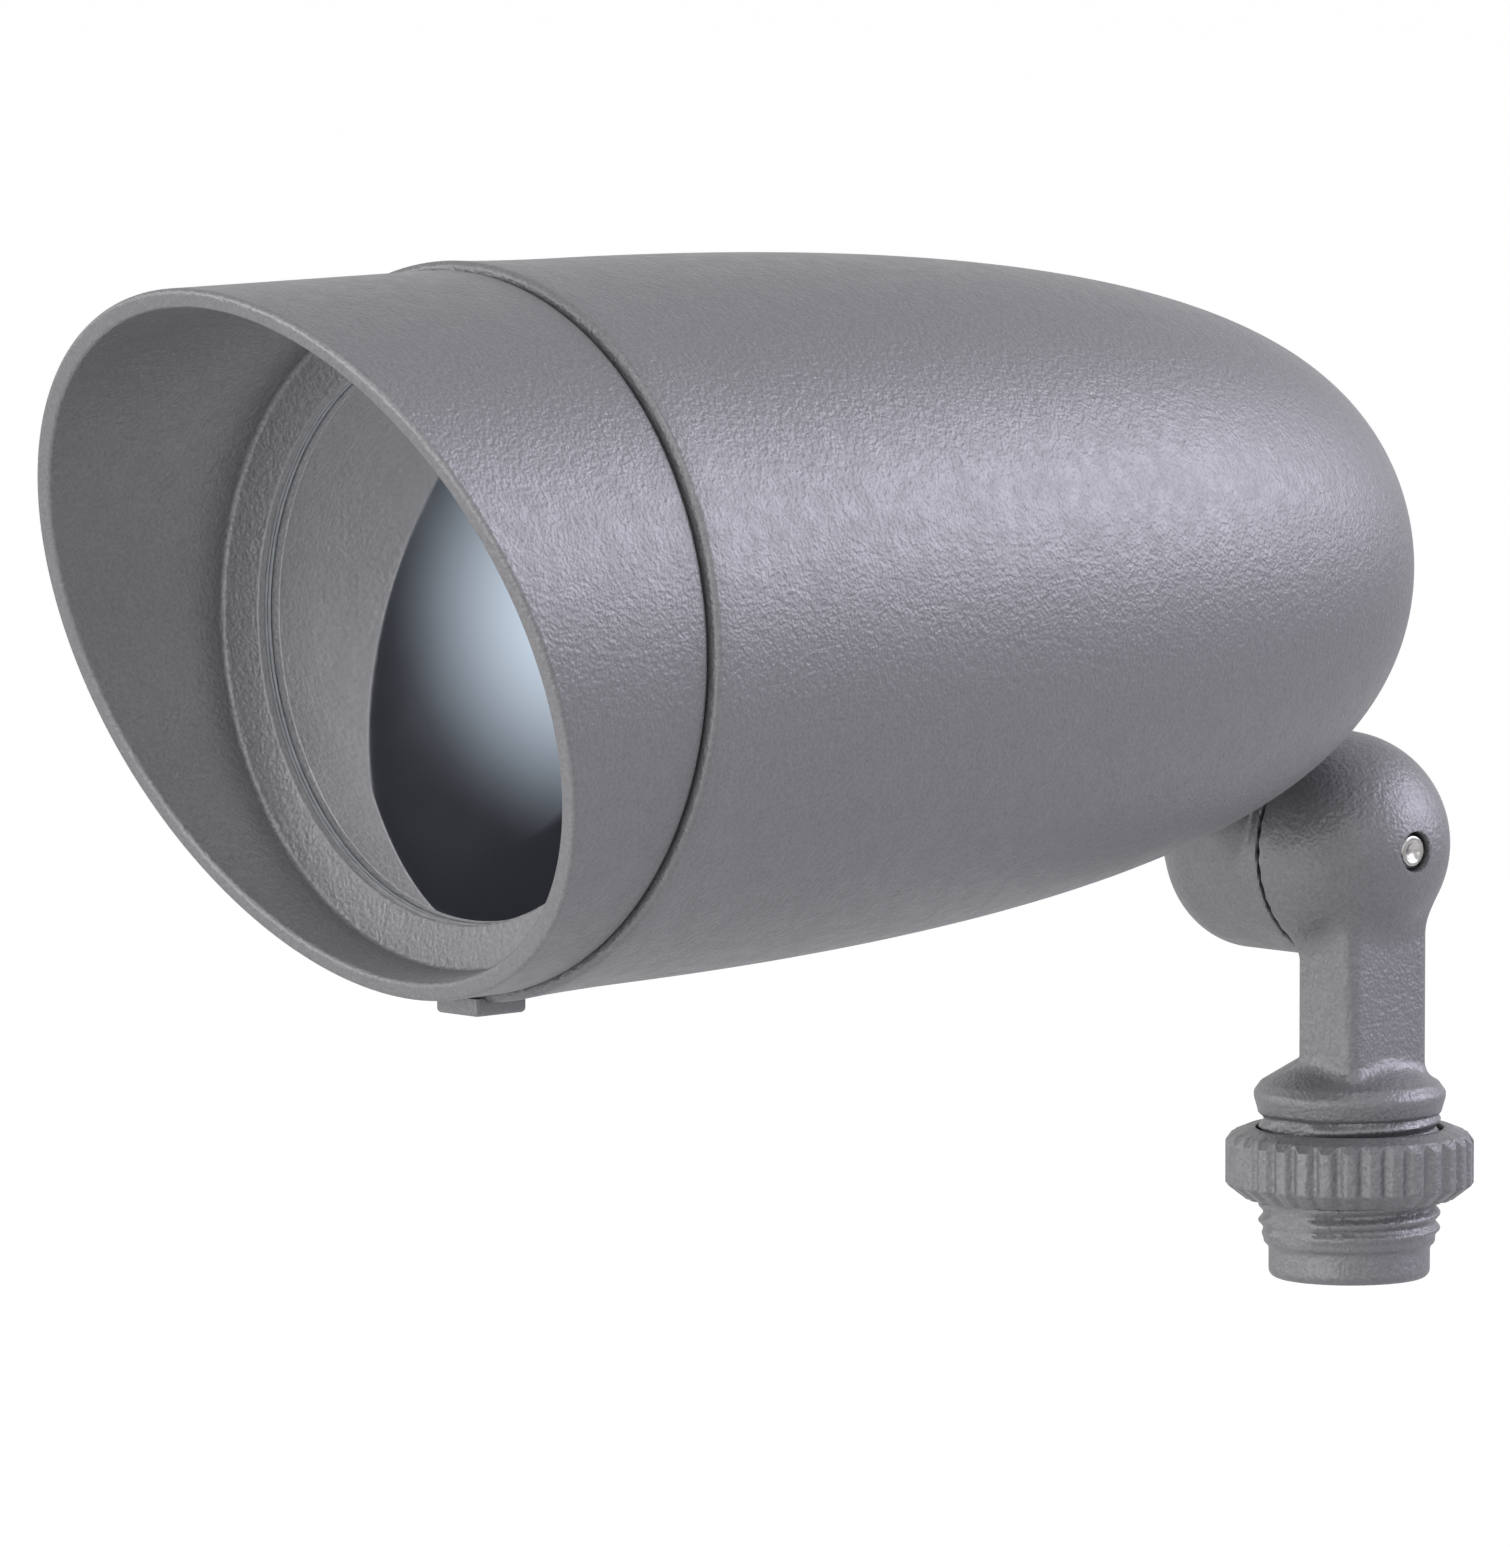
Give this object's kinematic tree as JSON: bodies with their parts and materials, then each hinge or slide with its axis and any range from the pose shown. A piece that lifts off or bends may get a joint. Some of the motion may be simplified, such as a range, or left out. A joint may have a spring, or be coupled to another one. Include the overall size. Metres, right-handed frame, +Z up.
{
  "type": "bullet floodlight",
  "caption": "Outdoor bullet floodlight with a slanted glare hood and flat lens, tilting on a toothed knuckle arm with a threaded pipe stem and ribbed locknut.",
  "frame": {"origin": "centre of the threaded stem's bottom end, on the thread's axis", "axes": "+Z up along the thread's axis, the light aims along -Y at rest, +X is the side of the knuckle's dome, which is the tilt axis"},
  "size_m": [0.0814, 0.1923, 0.1247],
  "materials": {
    "coat": "silver-grey powder coat with a fine orange-peel texture, on cast aluminium",
    "lens_glass": "polished clear glass",
    "steel": "bright stainless steel",
    "rubber": "matte black",
    "plain_aluminium": "machined",
    "bright_aluminium": "bright anodised",
    "phosphor": "yellow silicone with phosphor",
    "ceramic_board": "white ceramic",
    "grey_silicone": "matte grey silicone",
    "black_plastic": "moulded, matte"
  },
  "bodies": {
    "arm": {"knuckle_arm": "coat"},
    "locknut": {"locknut": "coat"},
    "clamp_bolt": {"clamp_bolt": "steel"},
    "head": {"bolt_washer": "steel", "driver_case": "black_plastic", "driver_screw_1": "steel", "driver_screw_2": "steel", "heat_spreader": "plain_aluminium", "hood_lock_screw": "steel", "housing": "coat", "knuckle_seal": "rubber", "led_board": "ceramic_board", "led_emitter": "phosphor", "led_holder": "black_plastic", "led_holder_screw_1": "steel", "led_holder_screw_2": "steel", "reflector": "bright_aluminium", "spreader_screw_1": "steel", "spreader_screw_2": "steel", "spreader_screw_3": "steel", "thermal_pad": "grey_silicone", "wire_grommet": "rubber"},
    "hood": {"hood": "coat", "lens": "lens_glass", "lens_gasket": "grey_silicone", "lens_retainer": "plain_aluminium", "hood_o_ring": "rubber"}
  },
  "joints": [
    {"name": "head_tilt", "type": "hinge", "parent": "arm", "child": "head", "pos_m": [0, 0, 0.05], "axis": [-1, 0, 0], "range_deg": [-45, 90]},
    {"name": "hood_turn", "type": "hinge", "parent": "head", "child": "hood", "pos_m": [0, -0.138, 0.084], "axis": [0, -1, 0], "continuous": true},
    {"name": "locknut_spin", "type": "hinge", "parent": "arm", "child": "locknut", "pos_m": [0, 0, 0], "axis": [0, 0, 1], "continuous": true},
    {"name": "clamp_bolt_turn", "type": "hinge", "parent": "arm", "child": "clamp_bolt", "pos_m": [0, 0, 0.05], "axis": [1, 0, 0], "continuous": true}
  ]
}
